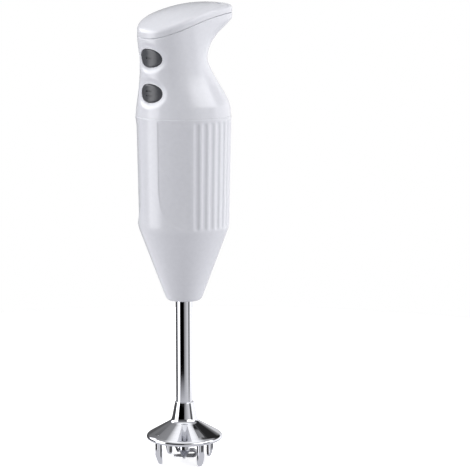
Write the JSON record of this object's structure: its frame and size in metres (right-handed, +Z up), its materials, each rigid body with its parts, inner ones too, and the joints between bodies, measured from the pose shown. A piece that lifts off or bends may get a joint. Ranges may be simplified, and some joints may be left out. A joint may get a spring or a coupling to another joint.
{
  "type": "immersion blender",
  "caption": "Corded immersion blender with a horn-shaped head, speed buttons, fluted motor housing, steel shaft tube, footed splash guard and pull-off cross blade.",
  "frame": {"origin": "on the floor, where the shaft axis meets the plane of the four foot tips", "axes": "+Z up along the shaft, -Y the side with the buttons, +Y the horn with the cord inlet"},
  "size_m": [0.0696, 0.0775, 0.3404],
  "materials": {
    "white_housing": "glossy moulded ABS",
    "grey_button": "fine-ribbed moulded plastic",
    "polished_steel": "mirror-polished stainless steel",
    "blade_steel": "tumbled stainless sheet",
    "bright_steel": "ground steel",
    "cast_aluminium": "die-cast",
    "lamination_steel": "stacked electrical sheet",
    "enamelled_copper": "enamelled copper wire",
    "sintered_bronze": "sintered, oil-soaked",
    "sheet_brass": "stamped brass",
    "black_rubber": "moulded rubber",
    "black_plastic": "moulded switch plastic",
    "grey_nylon": "glass-filled nylon",
    "white_nylon": "moulded nylon",
    "board_laminate": "paper laminate circuit board",
    "film_capacitor": "moulded capacitor case",
    "brush_carbon": "pressed carbon",
    "wire_sheath": "wire sheath"
  },
  "bodies": {
    "housing": {"top_cover": "white_housing", "cover_screws": "bright_steel", "grip_housing": "white_housing", "motor_housing": "white_housing", "switch_carrier": "grey_nylon", "microswitch_1": "black_plastic", "microswitch_2": "black_plastic", "circuit_board": "board_laminate", "terminal_block": "white_nylon", "suppression_capacitor": "film_capacitor", "speed_diode": "black_plastic", "lead_wires": "wire_sheath", "cord_bushing": "black_rubber", "clamp_saddle": "white_nylon", "clamp_bar": "white_nylon", "clamp_screws": "bright_steel", "stator_core": "lamination_steel", "field_coils": "enamelled_copper", "upper_bearing": "sintered_bronze", "lower_bearing": "sintered_bronze", "upper_bracket": "cast_aluminium", "lower_bracket": "cast_aluminium", "motor_screws": "bright_steel", "brush_holder_left": "sheet_brass", "brush_holder_right": "sheet_brass", "brush_spring_left": "bright_steel", "brush_spring_right": "bright_steel", "upper_mount_ring": "black_rubber", "lower_mount_ring": "black_rubber", "upper_bush": "sintered_bronze", "lower_bush": "sintered_bronze", "shaft_seal": "black_rubber", "tube_flange": "cast_aluminium", "flange_screws": "bright_steel", "shaft_tube": "polished_steel", "nose_seal": "black_rubber", "guard_head": "polished_steel"},
    "drive_train": {"armature_core": "lamination_steel", "armature_windings": "enamelled_copper", "commutator": "enamelled_copper", "motor_shaft": "bright_steel", "thrust_washers": "bright_steel", "shaft_coupling": "grey_nylon", "drive_shaft": "bright_steel", "drive_pin": "bright_steel"},
    "blade_tool": {"tool_hub": "polished_steel", "tool_blade": "blade_steel"},
    "button_1": {"speed_button_1": "grey_button"},
    "button_2": {"speed_button_2": "grey_button"},
    "plunger_1": {"switch_plunger_1": "black_plastic"},
    "plunger_2": {"switch_plunger_2": "black_plastic"},
    "brush_left": {"carbon_brush_left": "brush_carbon"},
    "brush_right": {"carbon_brush_right": "brush_carbon"}
  },
  "joints": [
    {"name": "drive_spin", "type": "hinge", "parent": "housing", "child": "drive_train", "pos_m": [0, 0, 0.18], "axis": [0, 0, 1], "continuous": true},
    {"name": "tool_release", "type": "slide", "parent": "drive_train", "child": "blade_tool", "axis": [0, 0, -1], "range_m": [0, 0.018]},
    {"name": "button_1_press", "type": "slide", "parent": "housing", "child": "button_1", "axis": [0, 1, 0], "range_m": [0, 0.0015], "stiffness_N_per_m": 600, "springref_m": -0.0008},
    {"name": "button_2_press", "type": "slide", "parent": "housing", "child": "button_2", "axis": [0, 1, 0], "range_m": [0, 0.0015], "stiffness_N_per_m": 600, "springref_m": -0.0008},
    {"name": "plunger_1_press", "type": "slide", "parent": "housing", "child": "plunger_1", "axis": [0, 1, 0], "range_m": [0, 0.0015]},
    {"name": "plunger_2_press", "type": "slide", "parent": "housing", "child": "plunger_2", "axis": [0, 1, 0], "range_m": [0, 0.0015]},
    {"name": "brush_left_slide", "type": "slide", "parent": "housing", "child": "brush_left", "axis": [-1, 0, 0], "range_m": [0, 0.002], "stiffness_N_per_m": 150, "springref_m": -0.003, "deforming": ["brush_spring_left"]},
    {"name": "brush_right_slide", "type": "slide", "parent": "housing", "child": "brush_right", "axis": [1, 0, 0], "range_m": [0, 0.002], "stiffness_N_per_m": 150, "springref_m": -0.003, "deforming": ["brush_spring_right"]}
  ],
  "couplings": [
    {"joint": "plunger_1_press", "follows": "button_1_press", "ratio": 1},
    {"joint": "plunger_2_press", "follows": "button_2_press", "ratio": 1}
  ]
}
